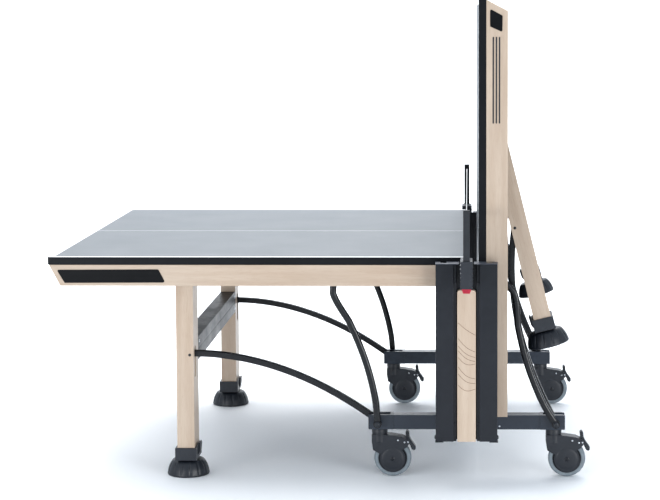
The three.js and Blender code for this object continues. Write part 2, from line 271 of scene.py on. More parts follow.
def from_cad(node, place):
    """The CAD node's own shape in the local frame of its group, in mm, with its flat faces whole."""
    bm = bmesh.new()
    bm.from_mesh(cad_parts[node].data)
    bm.transform(Matrix.Scale(1 / MM, 4) @ place.inverted())
    bmesh.ops.remove_doubles(bm, verts=bm.verts, dist=0.01)
    bmesh.ops.dissolve_limit(bm, angle_limit=math.radians(1), verts=bm.verts, edges=bm.edges)
    bmesh.ops.recalc_face_normals(bm, faces=bm.faces)
    return bm


def piece(name, bm, body, material, place=CHASSIS, bevel=0.0, segments=2, angle=32, replaces=None):
    """One visible piece: rounded edges, smooth shading with sharp corners kept, riding on its body.
    replaces is the one CAD node that it stands for."""
    for f in bm.faces:
        f.smooth = True
    mesh = bpy.data.meshes.new(name)
    bm.transform(Matrix.Scale(MM, 4))
    bm.to_mesh(mesh)
    bm.free()
    obj = bpy.data.objects.new(name, mesh)
    bpy.context.collection.objects.link(obj)
    obj.matrix_world = place
    mesh.materials.append(material)
    if bevel:
        edge = obj.modifiers.new("edge", "BEVEL")
        edge.width, edge.segments = bevel * MM, segments
        edge.limit_method, edge.angle_limit = "ANGLE", math.radians(angle)
    else:
        mesh.set_sharp_from_angle(angle=math.radians(angle))
    weights = obj.modifiers.new("normals", "WEIGHTED_NORMAL")
    weights.keep_sharp = True
    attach(obj, body)
    if replaces:
        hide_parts(replaces)
    return obj


# ---- materials ---------------------------------------------------------------------------------
class Nodes:
    """A material's node tree, with short calls for the nodes that these finishes share."""

    def __init__(self, name):
        self.material = bpy.data.materials.new(name)
        self.material.use_nodes = True
        self.tree = self.material.node_tree
        self.shader = self.tree.nodes["Principled BSDF"]
        self.place = self.tree.nodes.new("ShaderNodeTexCoord").outputs["Object"]

    def add(self, kind, inputs=None, **settings):
        node = self.tree.nodes.new(kind)
        for key, value in settings.items():
            setattr(node, key, value)
        for key, value in (inputs or {}).items():
            self.set(node.inputs[key], value)
        return node

    def set(self, socket, value):
        if isinstance(value, bpy.types.NodeSocket):
            self.tree.links.new(value, socket)
        else:
            socket.default_value = value

    def math(self, operation, a, b=0.0):
        return self.add("ShaderNodeMath", {0: a, 1: b}, operation=operation).outputs[0]

    def noise(self, scale, detail=3.0, stretch=(1, 1, 1), roughness=0.5):
        mapped = self.add("ShaderNodeMapping", {"Vector": self.place, "Scale": stretch}).outputs[0]
        made = self.add("ShaderNodeTexNoise",
                        {"Vector": mapped, "Scale": scale, "Detail": detail, "Roughness": roughness})
        return made.outputs["Fac"]

    def between(self, value, low, high, out_low=0.0, out_high=1.0):
        made = self.add("ShaderNodeMapRange",
                        {"Value": value, "From Min": low, "From Max": high,
                         "To Min": out_low, "To Max": out_high})
        return made.outputs["Result"]

    def mix(self, share, a, b):
        made = self.add("ShaderNodeMix", data_type="RGBA")
        self.set(made.inputs["Factor"], share)
        self.set(made.inputs["A"], a)
        self.set(made.inputs["B"], b)
        return made.outputs["Result"]

    def bump(self, height, strength, distance=0.0005):
        made = self.add("ShaderNodeBump", {"Height": height, "Strength": strength, "Distance": distance})
        return made.outputs["Normal"]

    def finish(self, **sockets):
        for key, value in sockets.items():
            self.set(self.shader.inputs[key.replace("_", " ")], value)
        return self.material


def rgb(r, g, b, scale=1.0):
    """Linear colour from the 0-255 display values."""
    def line(c):
        c = c / 255
        return (c / 12.92 if c <= 0.04045 else ((c + 0.055) / 1.055) ** 2.4) * scale
    return (line(r), line(g), line(b), 1.0)


def beech(name, grain, tone=1.0):
    """Pale steamed beech. grain is the axis that the fibres run along, in the piece's own frame."""
    n = Nodes(name)
    along = {"x": (1, 14, 14), "y": (14, 1, 14), "z": (14, 14, 1)}[grain]
    fleck_run = {"x": (1, 26, 26), "y": (26, 1, 26), "z": (26, 26, 1)}[grain]
    bands = n.noise(2.6, 3.0, along)
    fibre = n.noise(22, 4.0, along, 0.6)
    flecks = n.noise(34, 2.0, fleck_run, 0.4)
    cloud = n.noise(3.0, 2.0)
    colour = n.mix(n.between(bands, 0.38, 0.62), rgb(219, 196, 173, tone), rgb(206, 181, 157, tone))
    colour = n.mix(n.between(fibre, 0.45, 0.75, 0, 0.35), colour, rgb(186, 160, 138, tone))
    fleck = n.between(flecks, 0.64, 0.74, 0, 0.5)
    colour = n.mix(fleck, colour, rgb(160, 130, 106, tone))
    colour = n.mix(n.between(cloud, 0.3, 0.7, 0, 0.25), colour, rgb(226, 209, 191, tone))
    rough = n.between(fibre, 0.3, 0.7, 0.40, 0.54)
    height = n.math("SUBTRACT", n.math("MULTIPLY", fibre, 0.5), n.math("MULTIPLY", fleck, 0.6))
    return n.finish(Base_Color=colour, Roughness=rough, Normal=n.bump(height, 0.35, 0.0004),
                    Coat_Weight=0.12, Coat_Roughness=0.3)


def coated(name, colour, worn, rough=(0.30, 0.44), peel=260, strength=0.18, specular=0.35):
    """Powder coat or moulded plastic: fine orange peel, cloudy gloss and a slightly paler wear in patches."""
    n = Nodes(name)
    cloud = n.noise(7, 3.0)
    grain = n.noise(peel * 2.6, 2.0)
    dimple = n.noise(peel, 2.0)
    scuff = n.noise(48, 5.0, (1, 1, 1), 0.7)
    edge = n.add("ShaderNodeNewGeometry").outputs["Pointiness"]
    wear = n.math("MULTIPLY", n.between(edge, 0.52, 0.60), n.between(scuff, 0.42, 0.62))
    colour_mix = n.mix(n.between(cloud, 0.3, 0.7, 0, 0.22), colour, worn)
    colour_mix = n.mix(n.math("MULTIPLY", wear, 0.45), colour_mix, worn)
    gloss = n.between(n.math("ADD", n.math("MULTIPLY", cloud, 0.5), n.math("MULTIPLY", scuff, 0.5)),
                      0.35, 0.65, rough[0], rough[1])
    height = n.math("ADD", dimple, n.math("MULTIPLY", grain, 0.4))
    return n.finish(Base_Color=colour_mix, Roughness=gloss, Normal=n.bump(height, strength, 0.0003),
                    Specular_IOR_Level=specular)


def line_mask(n, axis_value, centre, width):
    """1 inside a painted line of that width round centre, in metres."""
    off = n.math("ABSOLUTE", n.math("SUBTRACT", axis_value, centre))
    return n.math("LESS_THAN", off, width / 2)


def playing_surface():
    """Grey textured playing surface with its white side, end and centre lines."""
    n = Nodes("playing_surface")
    xyz = n.add("ShaderNodeSeparateXYZ", {"Vector": n.place})
    x = n.math("ABSOLUTE", xyz.outputs["X"])
    y = n.math("ABSOLUTE", xyz.outputs["Y"])
    line = LINE_WIDTH * MM
    side = n.math("GREATER_THAN", y, HALF_WIDTH * MM - line)
    end = n.math("GREATER_THAN", x, HALF_LENGTH * MM - line)
    centre = line_mask(n, y, 0.0, CENTRE_LINE * MM)
    white = n.math("MAXIMUM", n.math("MAXIMUM", side, end), centre)
    grain = n.noise(900, 2.0)
    cloud = n.noise(4, 4.0, (1, 1, 1), 0.6)
    speck = n.noise(420, 1.0)
    grey = n.mix(n.between(cloud, 0.2, 0.8), rgb(80, 86, 92), rgb(82, 88, 94))
    grey = n.mix(n.between(speck, 0.56, 0.68, 0, 0.2), grey, rgb(98, 104, 110))
    paint = n.mix(n.between(speck, 0.5, 0.7, 0, 0.35), rgb(243, 244, 244), rgb(226, 229, 231))
    rough = n.between(cloud, 0.3, 0.7, 0.48, 0.53)
    height = n.math("ADD", grain, n.math("MULTIPLY", white, 0.6))
    return n.finish(Base_Color=n.mix(white, grey, paint), Roughness=rough,
                    Normal=n.bump(height, 0.22, 0.0003))


def brushed(name, colour, rough=(0.22, 0.38), stretch=(60, 1, 60)):
    """Zinc plated or machined steel with fine lines."""
    n = Nodes(name)
    lines = n.noise(16, 4.0, stretch, 0.6)
    stain = n.noise(30, 3.0)
    tint = n.mix(n.between(stain, 0.4, 0.7, 0, 0.5), colour, tuple(c * 0.72 for c in colour[:3]) + (1.0,))
    return n.finish(Base_Color=tint, Metallic=1.0, Roughness=n.between(lines, 0.3, 0.7, *rough),
                    Normal=n.bump(lines, 0.12, 0.0002))


def tyre_rubber():
    """Grey rubber, dusty on the tread."""
    n = Nodes("tyre_rubber")
    dust = n.noise(60, 5.0, (1, 1, 1), 0.65)
    fine = n.noise(500, 2.0)
    colour = n.mix(n.between(dust, 0.4, 0.62), rgb(96, 106, 113), rgb(112, 121, 127))
    colour = n.mix(n.between(fine, 0.55, 0.7, 0, 0.4), colour, rgb(84, 93, 100))
    return n.finish(Base_Color=colour, Roughness=n.between(dust, 0.3, 0.7, 0.58, 0.8),
                    Normal=n.bump(fine, 0.25, 0.0003))


def woven(name, colour, pale, pitch=1.1):
    """Plain weave by two crossed waves, from the place along the cloth."""
    n = Nodes(name)
    xyz = n.add("ShaderNodeSeparateXYZ", {"Vector": n.place})
    threads = 2 * math.pi / (pitch * MM)
    warp = n.math("SINE", n.math("MULTIPLY", xyz.outputs["Y"], threads))
    weft = n.math("SINE", n.math("MULTIPLY", xyz.outputs["Z"], threads))
    weave = n.math("MULTIPLY", warp, weft)
    cloud = n.noise(40, 3.0)
    mixed = n.mix(n.between(weave, -1, 1, 0, 0.5), colour, pale)
    mixed = n.mix(n.between(cloud, 0.4, 0.7, 0, 0.3), mixed, pale)
    return n.finish(Base_Color=mixed, Roughness=n.between(cloud, 0.3, 0.7, 0.75, 0.92),
                    Normal=n.bump(weave, 0.4, 0.0003), Sheen_Weight=0.25)


wood_x = beech("beech_along_x", "x", 0.56)
wood_y = beech("beech_along_y", "y", 0.60)
wood_z = beech("beech_along_z", "z", 0.59)
steel = coated("dark_steel_coat", rgb(13, 16, 23), rgb(23, 28, 36), (0.28, 0.42), 240, 0.10, 0.28)
bar_steel = coated("crossbar_coat", rgb(9, 12, 17), rgb(17, 21, 28), (0.34, 0.5), 240, 0.06, 0.12)
beam_steel = coated("beam_coat", rgb(30, 37, 48), rgb(44, 52, 63), (0.28, 0.42), 240, 0.10)
arm_steel = coated("arm_coat", rgb(9, 11, 15), rgb(17, 20, 25), (0.2, 0.3), 200, 0.03, 0.3)
textured = coated("post_coat", rgb(9, 12, 17), rgb(29, 34, 42), (0.4, 0.6), 420, 0.6)
plastic = coated("dark_plastic_grain", rgb(19, 23, 30), rgb(33, 38, 46), (0.36, 0.52), 520, 0.3)
band_coat = coated("edge_band_coat", rgb(6, 8, 12), rgb(14, 17, 23), (0.34, 0.46), 240, 0.1, 0.14)
plate_black = coated("apron_plate_black", rgb(5, 6, 8), rgb(14, 15, 18), (0.34, 0.46), 300, 0.08, 0.1)
# Painted highlight: the column caps are coloured grey, paler than the column's dark coat, to stand for the
# bright grazing reflection along the column tops.
cap_painted_highlight = coated("cap_painted_highlight", rgb(50, 54, 64), rgb(74, 78, 90), (0.35, 0.5), 300)
red_plastic = coated("red_plastic_gloss", rgb(146, 18, 40), rgb(170, 42, 64), (0.25, 0.38), 380)
stripe_paint = coated("stripe_paint", rgb(24, 24, 27), rgb(44, 44, 48), (0.4, 0.55), 300)
engraved = coated("engraved_brown", rgb(92, 72, 58), rgb(112, 90, 74), (0.6, 0.75), 500)
under_coat = coated("underside_coat", rgb(44, 46, 50), rgb(60, 62, 66), (0.5, 0.7), 320, 0.3)
bolt_black = coated("bolt_black", rgb(16, 17, 20), rgb(60, 62, 66), (0.25, 0.4), 420)
surface = playing_surface()
bright = brushed("bright_steel_lines", rgb(196, 200, 206))
rubber = tyre_rubber()
mesh_black = woven("net_cord", rgb(26, 30, 36), rgb(52, 58, 66), 0.6)
tape_white = woven("net_tape", rgb(226, 228, 230), rgb(244, 244, 242), 1.2)


# ---- small fittings ----------------------------------------------------------------------------
def bolt_head(x, z, y_face, side, radius=7.0, tall=3.4):
    """A domed head with a hex socket, standing on a face that looks along side * y."""
    dome = lathe([(0, tall), (radius * 0.55, tall), (radius * 0.9, tall * 0.62), (radius, 0.5),
                  (radius, -0.4)], 32)
    hexagon = [(radius * 0.42 * math.cos(a), radius * 0.42 * math.sin(a))
               for a in (math.pi * k / 3 for k in range(6))]
    socket = prism(hexagon, tall * 0.35, tall + 3, "z")
    head = boolean(dome, socket, "DIFFERENCE")
    bmesh.ops.rotate(head, verts=head.verts, matrix=Matrix.Rotation(-side * math.pi / 2, 3, "X"))
    return moved(head, x, y_face, z)


# ---- the two halves ----------------------------------------------------------------------------
def edge_band(end):
    """The coated steel channel round the board: one profile swept round a rectangle with round corners."""
    x0, x1, w = SEAM, HALF_LENGTH, HALF_WIDTH
    loop = rounded([(x0, -w), (x1, -w), (x1, w), (x0, w)], [2, 7, 7, 2], 6)
    profile = [(0.7, -0.15), (2.6, -0.15), (2.6, -1.2), (2.6, -23.2), (17, -23.2), (17, -24.9), (0.8, -24.9),
               (0.0, -24.2), (0.0, -0.9)]
    middle = Vector(((x0 + x1) / 2, 0))
    bm, rings, count = bmesh.new(), [], len(loop)
    for i, p in enumerate(loop):
        tangent = (Vector(loop[(i + 1) % count]) - Vector(loop[i - 1])).normalized()
        inward = Vector((-tangent.y, tangent.x))
        if inward.dot(middle - Vector(p)) < 0:
            inward = -inward
        rings.append([bm.verts.new((end * (p[0] + inward.x * o), p[1] + inward.y * o, z))
                      for o, z in profile])
    for i in range(count):
        one, two = rings[i], rings[(i + 1) % count]
        for k in range(len(profile)):
            n = (k + 1) % len(profile)
            bm.faces.new((one[k], one[n], two[n], two[k]))
    bmesh.ops.recalc_face_normals(bm, faces=bm.faces)
    return bm


def apron_fittings(end_name, side_name):
    """A wide plain plate near the outer end of two aprons. The other two have a small plate and stripes."""
    end, side = ENDS[end_name], SIDES[side_name]
    name, body, place = f"{end_name}_{side_name}", f"half_{end_name}", top_place(end_name)
    face = across(side, 0)
    wide_plate = (end == LEFT) == (side == FRONT)
    if wide_plate:
        outline, corners = [(1340, 41.5), (1006, 40), (984, 83.5), (1314, 85)], [4, 8, 5, 4]
    else:
        outline, corners = [(1336, 37), (1314, 77.5), (1261, 76.5), (1279, 37)], 4
    plate = prism(rounded([(end * u, -v) for u, v in outline], corners), face - side * 0.5, face + side * 1.4)
    piece(f"apron_plate_{name}", plate, body, plate_black, place, 0.5)
    if wide_plate:
        return
    for k in range(3):
        v = 45 + 10 * k
        stripe = rounded([(end * 966, -v), (end * 1246, -v), (end * 1246, -v - 5), (end * 966, -v - 5)], 2.4)
        piece(f"apron_inlay_{name}_{k + 1}", prism(stripe, face - side * 0.4, face + side * 0.35), body,
              stripe_paint, place, 0.1)


def table_half(end_name):
    end = ENDS[end_name]
    body, place = f"half_{end_name}", top_place(end_name)
    lip = 2.9
    near, far, wide = end * (SEAM + lip), end * (HALF_LENGTH - lip), HALF_WIDTH - lip
    outline = rounded([(near, -wide), (far, -wide), (far, wide), (near, wide)], [1.5, 5, 5, 1.5])
    board = prism(outline, -19.5, 0, "z")
    piece(f"playing_board_{end_name}", board, body, surface, place, 0.5, replaces=f"top_{end_name}")
    piece(f"edge_band_{end_name}", edge_band(end), body, band_coat, place, 0.35)
    under = box(end * 9, end * 1364, -756, 756, -23, -19.8)
    piece(f"board_underside_{end_name}", under, body, under_coat, place, 0.5)
    for side_name in SIDES:
        node = f"apron_{end_name}_{side_name}"
        piece(f"apron_board_{end_name}_{side_name}", from_cad(node, half_place(end_name)), body, wood_x,
              half_place(end_name), 1.6, 3, replaces=node)
        apron_fittings(end_name, side_name)
    node = f"end_rail_{end_name}"
    piece(f"end_rail_board_{end_name}", from_cad(node, half_place(end_name)), body, wood_y,
          half_place(end_name), 1.6, 3, replaces=node)
    node = f"under_frame_{end_name}"
    piece(f"under_frame_tube_{end_name}", from_cad(node, half_place(end_name)), body, steel,
          half_place(end_name), 1.0, replaces=node)
    roller_axle(end_name)


def roller_axle(end_name):
    """Axle with a grooved roller at each end."""
    reach, r = HALF_WIDTH + 54, ROLLER["radius"]
    inner, outer = HALF_WIDTH + 20, HALF_WIDTH + 52
    one_end = [(6, reach), (7, reach - 1), (7, outer), (r - 2, outer), (r, outer - 2), (r, outer - 11),
               (r - 2, outer - 13), (r - 2, inner + 13), (r, inner + 11), (r, inner + 2), (r - 2, inner),
               (7, inner)]
    profile = [(0, reach)] + one_end + [(q, -h) for q, h in reversed(one_end)] + [(0, -reach)]
    piece(f"roller_axle_turned_{end_name}", lathe(profile, 48, "y"), f"carriage_{end_name}", bright,
          axle_place(end_name), replaces=f"roller_axle_{end_name}")


# ---- legs --------------------------------------------------------------------------------------
def crossbar(end_name):
    """Folded steel bar with a crease along the middle of both tall faces."""
    end, wide, inner = ENDS[end_name], LEG["wide"], HALF_WIDTH - LEG["in1"] - 0.3
    mid = -(BAR["d0"] + BAR["d1"]) / 2
    top, low_z = -BAR["d0"], -BAR["d1"]
    outline = [(0, top), (wide, top), (wide, mid + 3), (wide - 2.5, mid), (wide, mid - 3), (wide, low_z),
               (0, low_z), (0, mid - 3), (2.5, mid), (0, mid + 3)]
    bm = prism([(end * e, z) for e, z in outline], -inner, inner)
    piece(f"leg_crossbar_folded_{end_name}", bm, f"legs_{end_name}", bar_steel, leg_place(end_name), 2.2, 3,
          replaces=f"leg_crossbar_{end_name}")


def foot(end, side):
    """Domed levelling foot with moulded ribs round its skirt."""
    sole, ribs = HINGE["v"] - PLAY_HEIGHT, 14

    def ripple(a, r, h):
        if not 9 < h < 50 or r < 40:
            return r
        groove = max(0.0, 1 - abs(math.sin(ribs * a / 2)) / 0.42)
        return r - 2.8 * groove * math.sin(math.pi * (h - 9) / 41) ** 0.4

    profile = [(0, 0.6), (64, 0.6), (66, 0), (69, 1), (70.5, 4), (70.4, 7), (69.6, 10), (68.2, 19),
               (66, 27), (63, 34), (59.5, 41), (56.5, 46), (53, 50), (49, 52.2), (36, 52.8), (14, 53),
               (6, 53.2), (6, 80), (0, 80)]
    bm = lathe(profile, ribs * 12, "z", ripple)
    return moved(bm, end * LEG["wide"] / 2, across(side, (LEG["in0"] + LEG["in1"]) / 2), sole)


def legs(end_name):
    end, place, body = ENDS[end_name], leg_place(end_name), f"legs_{end_name}"
    for side_name, side in SIDES.items():
        name = f"{end_name}_{side_name}"
        node = f"leg_{name}"
        piece(f"leg_post_{name}", from_cad(node, place), body, wood_z, place, 2.2, 3, replaces=node)
        node = f"foot_socket_{name}"
        piece(f"foot_socket_moulded_{name}", from_cad(node, place), body, plastic, place, 2.6, 3,
              replaces=node)
        piece(f"levelling_foot_ribbed_{name}", foot(end, side), f"foot_{name}", plastic, place,
              replaces=f"levelling_foot_{name}", angle=50)
        pin = (end * (STAY_PIN["x"] - HINGE["u"]), -(PLAY_HEIGHT - HINGE["v"] - STAY_PIN["z"]))
        for inset, facing in ((LEG["in0"], side), (LEG["in1"], -side)):
            piece(f"leg_bolt_{name}_{'outer' if facing == side else 'inner'}",
                  bolt_head(*pin, across(side, inset), facing, 5.0, 1.6), body, bolt_black, place, angle=30)
        for k, d in enumerate((BAR["d0"] + 18, BAR["d1"] - 18)):
            y = across(side, LEG["in1"] + 26)
            screw = lathe([(0, 2.4), (3.2, 2.3), (5.4, 1.2), (5.8, 0), (5.8, -0.5)], 24)
            bmesh.ops.rotate(screw, verts=screw.verts, matrix=Matrix.Rotation(-end * math.pi / 2, 3, "Y"))
            piece(f"crossbar_screw_{name}_{k + 1}", moved(screw, 0, y, -d), body, bright, place, angle=30)
    crossbar(end_name)


# ---- curved arms -------------------------------------------------------------------------------
def bezier(points, steps):
    a, b, c, d = (Vector(p) for p in points)
    out = []
    for i in range(steps + 1):
        t = i / steps
        s = 1 - t
        out.append(tuple(a * s ** 3 + b * 3 * s * s * t + c * 3 * s * t * t + d * t ** 3))
    return out


def catmull_rom(points, steps):
    """Centripetal spline through the points, with steps on each span."""
    p = [Vector(q) for q in points]
    p = [2 * p[0] - p[1]] + p + [2 * p[-1] - p[-2]]
    out = []
    for i in range(1, len(p) - 2):
        knots = [0.0]
        for k in range(3):
            knots.append(knots[-1] + (p[i + k] - p[i + k - 1]).length ** 0.5)
        for k in range(steps):
            t = knots[1] + (knots[2] - knots[1]) * k / steps
            level = p[i - 1:i + 3]
            for depth in range(1, 4):
                level = [level[j] * ((knots[j + depth] - t) / (knots[j + depth] - knots[j]))
                         + level[j + 1] * ((t - knots[j]) / (knots[j + depth] - knots[j]))
                         for j in range(4 - depth)]
            out.append(tuple(level[0]))
    out.append(tuple(p[-2]))
    return out


def grooved_section(wide, tall):
    """Three rounded ridges on each broad face, with two grooves between them."""
    w, h = wide / 2, tall / 2
    upper = []
    for k in range(25):
        y = w - 2 * w * k / 24
        ridge = abs(math.sin(1.5 * math.pi * (y + w) / w))
        upper.append((y, h - 2.0 * (1 - ridge ** 0.5)))
    return upper + [(-y, -n) for y, n in upper]


def oval_section(wide, tall):
    w, h = wide / 2, tall / 2
    out = []
    for k in range(28):
        a = 2 * math.pi * k / 28
        c, s = math.cos(a), math.sin(a)
        out.append((w * math.copysign(abs(c) ** 0.7, c), h * math.copysign(abs(s) ** 0.7, s)))
    return out


def arm(kind, end_name, side_name, points, layer, section, full_turn):
    end, side = ENDS[end_name], SIDES[side_name]
    name, body = f"{end_name}_{side_name}", f"{kind}_arms_{end_name}"
    ya, yb = across(side, layer[0]), across(side, layer[1])
    mid, half = (ya + yb) / 2, abs(yb - ya) / 2
    bar = sweep([(end * x, z) for x, z in points], [(mid + y, n) for y, n in section])
    place = arm_place(end_name, full_turn)
    tip = points[-1]
    for where, (x, z), radius, bore in (("lower", (0, 0), 14, 6.4), ("upper", tip, 11.5, 0)):
        ring = [(bore, -half), (radius - 1.5, -half), (radius, -half + 1.5), (radius, half - 1.5),
                (radius - 1.5, half), (bore, half)]
        eye = lathe(ring + [ring[0]] if bore else ring, 40, "y")
        if where == "lower":
            hole = lathe([(bore, -half - 4), (bore, half + 4)], 32, "y")
            bar = boolean(bar, moved(hole, 0, mid, 0), "DIFFERENCE")
        piece(f"{kind}_arm_eye_{where}_{name}", moved(eye, end * x, mid, z), body, arm_steel, place,
              angle=30)
    piece(f"{kind}_arm_bar_{name}", bar, body, arm_steel, place, replaces=f"{kind}_arm_{name}",
          angle=50)


def arms(end_name):
    stay = bezier([(0, 0), (186, 138), (398, 229),
                   (STAY_PIN["x"] - ARM_PIVOT["x"], STAY_PIN["z"] - ARM_PIVOT["z"])], 56)
    lift = catmull_rom([(0, 0), (6, 76), (38, 208), (95, 348), (146, 438),
                        (LIFT_LUG["x"] - ARM_PIVOT["x"], LIFT_LUG["z"] - ARM_PIVOT["z"])], 12)
    for side_name in SIDES:
        arm("stay", end_name, side_name, stay, STAY_LAYER, grooved_section(24, 21), STAY_TURN)
        arm("lift", end_name, side_name, lift, LIFT_LAYER, oval_section(22, 23), LIFT_TURN)


# ---- chassis -----------------------------------------------------------------------------------
def engraving(side):
    """Thin dark arcs on the face of the column insert, as ribbons that stand 0.16 mm proud of it."""
    face = across(side, INSERT["in0"])
    x0, x1 = -27, 28
    arcs = [(556, 516, 4), (505, 461, 9), (480, 443, 9), (465, 430, 10), (443, 422, 14), (412, 373, 12),
            (389, 358, 12), (352, 340, 14)]
    parts = []
    for start, stop, sag in arcs:
        line = []
        for k in range(25):
            t = k / 24
            z = start + (stop - start) * t - sag * math.sin(math.pi * t) * (1 - 0.25 * t)
            line.append((-side * (x0 + (x1 - x0) * t), z))
        ribbon = sweep(line, [(face - side * 0.5, -0.75), (face + side * 0.16, -0.75),
                              (face + side * 0.16, 0.75), (face - side * 0.5, 0.75)])
        parts.append(ribbon)
    return merged(*parts)


def column(side_name):
    side = SIDES[side_name]
    node = f"column_{side_name}"
    piece(f"column_folded_{side_name}", from_cad(node, CHASSIS), "chassis", steel, CHASSIS, 1.0, 3,
          replaces=node)
    x, low_z, high_z = INSERT["x"], INSERT["z0"], INSERT["z1"]
    outline = rounded([(-x, low_z), (x, low_z), (x, high_z), (-x, high_z)], [1, 1, 9, 9])
    piece(f"column_insert_board_{side_name}",
          prism(outline, across(side, INSERT["in0"]), across(side, INSERT["in1"])), "chassis", wood_z,
          CHASSIS, 2.4, 4, replaces=f"column_insert_{side_name}")
    piece(f"insert_engraving_{side_name}", engraving(side), "chassis", engraved, CHASSIS)
    top, foot_z = COLUMN["z1"], COLUMN["z0"]
    for hand, way in ENDS.items():
        name = f"{side_name}_{hand}"
        x0, x1 = way * 24, way * (COLUMN["x1"] + 1.2)
        ya, yb = across(side, COLUMN["in0"] - 1.2), across(side, COLUMN["in1"] - 1)
        cap = prism(rounded([(x0, ya), (x1, ya), (x1, yb), (x0, yb)], 4), top + 0.2, top + 2.6, "z")
        mouth = box(way * 65, way * 85, across(side, -40), yb - side * 3, top - 3, top + 9)
        # The cap's grey coat is a painted highlight for the reflection along the column top.
        piece(f"column_cap_{name}", boolean(cap, mouth, "DIFFERENCE"), "chassis", cap_painted_highlight, CHASSIS, 0.8)
        ring = [(way * 74, ya), (way * 102.4, ya), (way * 102.4, across(side, -36)),
                (way * 74, across(side, -36))]
        piece(f"column_foot_cap_{name}", prism(rounded(ring, 3), foot_z - 2.6, foot_z - 0.2, "z"),
              "chassis", plastic, CHASSIS, 0.7)
        nub = lathe([(0, 4.6), (4, 4.2), (7, 2.2), (7.8, 0), (7.8, -1)], 28)
        bmesh.ops.rotate(nub, verts=nub.verts, matrix=Matrix.Rotation(way * math.pi / 2, 3, "Y"))
        piece(f"column_bumper_{name}", moved(nub, way * COLUMN["x1"], across(side, -48), foot_z + 11),
              "chassis", plastic, CHASSIS)
        for k, z in enumerate((foot_z + 60, top - 60)):
            screw = bolt_head(way * 39, z, across(side, COLUMN["in0"] + 8), side, 3.6, 2.0)
            piece(f"column_screw_{name}_{k + 1}", screw, "chassis", steel, CHASSIS, angle=30)


def net_fittings(side_name):
    side = SIDES[side_name]
    node = f"post_holder_{side_name}"
    piece(f"post_holder_ribbed_{side_name}", from_cad(node, CHASSIS), "chassis", plastic, CHASSIS, 0.8, 2,
          replaces=node)
    node = f"net_post_{side_name}"
    piece(f"net_post_channel_{side_name}", from_cad(node, CHASSIS), "net_set", textured, CHASSIS, 0.7, 2,
          replaces=node)
    low_z, high_z = HOLDER["z0"] - 14, HOLDER["z0"] - 0.3
    outline = [(-15.5, high_z), (-11, low_z), (11, low_z), (15.5, high_z)]
    y0, y1 = across(side, HOLDER["in0"]), across(side, HOLDER["in0"] + 24)
    button = prism(rounded(outline, [1.5, 3, 3, 1.5]), y0, y1)
    for k in range(3):
        z = low_z + 3.4 + 3.2 * k
        groove = box(-9, 9, y0 - side * 0.8, y0 + side * 2, z, z + 1.1)
        button = boolean(button, groove, "DIFFERENCE")
    node = f"release_button_{side_name}"
    piece(f"release_button_grip_{side_name}", button, node, red_plastic, CHASSIS, 0.4, replaces=node)


def net():
    """Knotted cord mesh as one open sheet with square holes, its white tape and its two end hems. The
    sheet's area is that of its cords and knots. The photo doesn't show how wide they are."""
    y0, y1 = NET_Y
    z0, z1 = NET_Z
    pitch, cord, behind_tape = 10.0, 1.8, 10
    notch_y, notch_z = HALF_WIDTH + 60, NET_Z[0] + 14
    columns, rows = round((y1 - y0) / pitch), round((z1 - z0 - behind_tape) / pitch)
    step_y, step_z = (y1 - y0) / columns, (z1 - z0 - behind_tape) / rows
    bm = bmesh.new()
    grid = {}

    def point(i, j, dy, dz):
        key = (i, j, dy, dz)
        if key not in grid:
            y, z = y0 + i * step_y + dy * cord / 2, z0 + j * step_z + dz * cord / 2
            grid[key] = bm.verts.new((0.5 * math.sin(y * 0.011) + 0.3 * math.sin(z * 0.06 + y * 0.02), y, z))
        return grid[key]

    def inside(i, j):
        y = abs(y0 + i * step_y)
        return y <= notch_y or z0 + j * step_z >= notch_z - 1

    for i in range(columns + 1):
        for j in range(rows + 1):
            if not inside(i, j):
                continue
            knot = [point(i, j, -1, -1), point(i, j, 1, -1), point(i, j, 1, 1), point(i, j, -1, 1)]
            bm.faces.new(knot)
            if i < columns and inside(i + 1, j):
                bm.faces.new((knot[1], point(i + 1, j, -1, -1), point(i + 1, j, -1, 1), knot[2]))
            if j < rows and inside(i, j + 1):
                bm.faces.new((knot[3], knot[2], point(i, j + 1, 1, -1), point(i, j + 1, -1, -1)))
    mesh_piece = piece("net_mesh", bm, "net_set", mesh_black, CHASSIS, replaces="net")
    top = box(-1.4, 1.4, y0 + 1, y1 - 1, z1 - 15, z1 - 0.2)
    tape = piece("net_tape", top, "net_set", tape_white, CHASSIS, 0.6)
    for hand, y in (("front", y0), ("rear", y1)):
        way = 1 if hand == "front" else -1
        hem = box(-1.2, 1.2, y + way * 0.5, y + way * 9, notch_z, z1 - 15)
        piece(f"net_hem_{hand}", hem, "net_set", mesh_black, CHASSIS, 0.5)


def chassis():
    beam_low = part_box("base_beam_front")[0].z / MM
    for side_name, side in SIDES.items():
        node = f"base_beam_{side_name}"
        piece(f"base_beam_tube_{side_name}", from_cad(node, CHASSIS), "chassis", beam_steel, CHASSIS, 1.6, 3,
              replaces=node)
        for hand, way in ENDS.items():
            face = across(side, LIFT_LAYER[0] - 6)
            bolt = bolt_head(way * ARM_PIVOT["x"], ARM_PIVOT["z"], face, side, 8.5, 3)
            piece(f"arm_bolt_{side_name}_{hand}", bolt, "chassis", plastic, CHASSIS, angle=30)
        screw = bolt_head(110, beam_low + 11, across(side, BEAM_INSET), side, 3.0, 1.4)
        piece(f"beam_screw_{side_name}", screw, "chassis", bright, CHASSIS, angle=30)
        column(side_name)
        net_fittings(side_name)
    piece("base_cross_tube_rolled", from_cad("base_cross_tube", CHASSIS), "chassis", steel, CHASSIS, 3.0, 4,
          replaces="base_cross_tube")
    net()


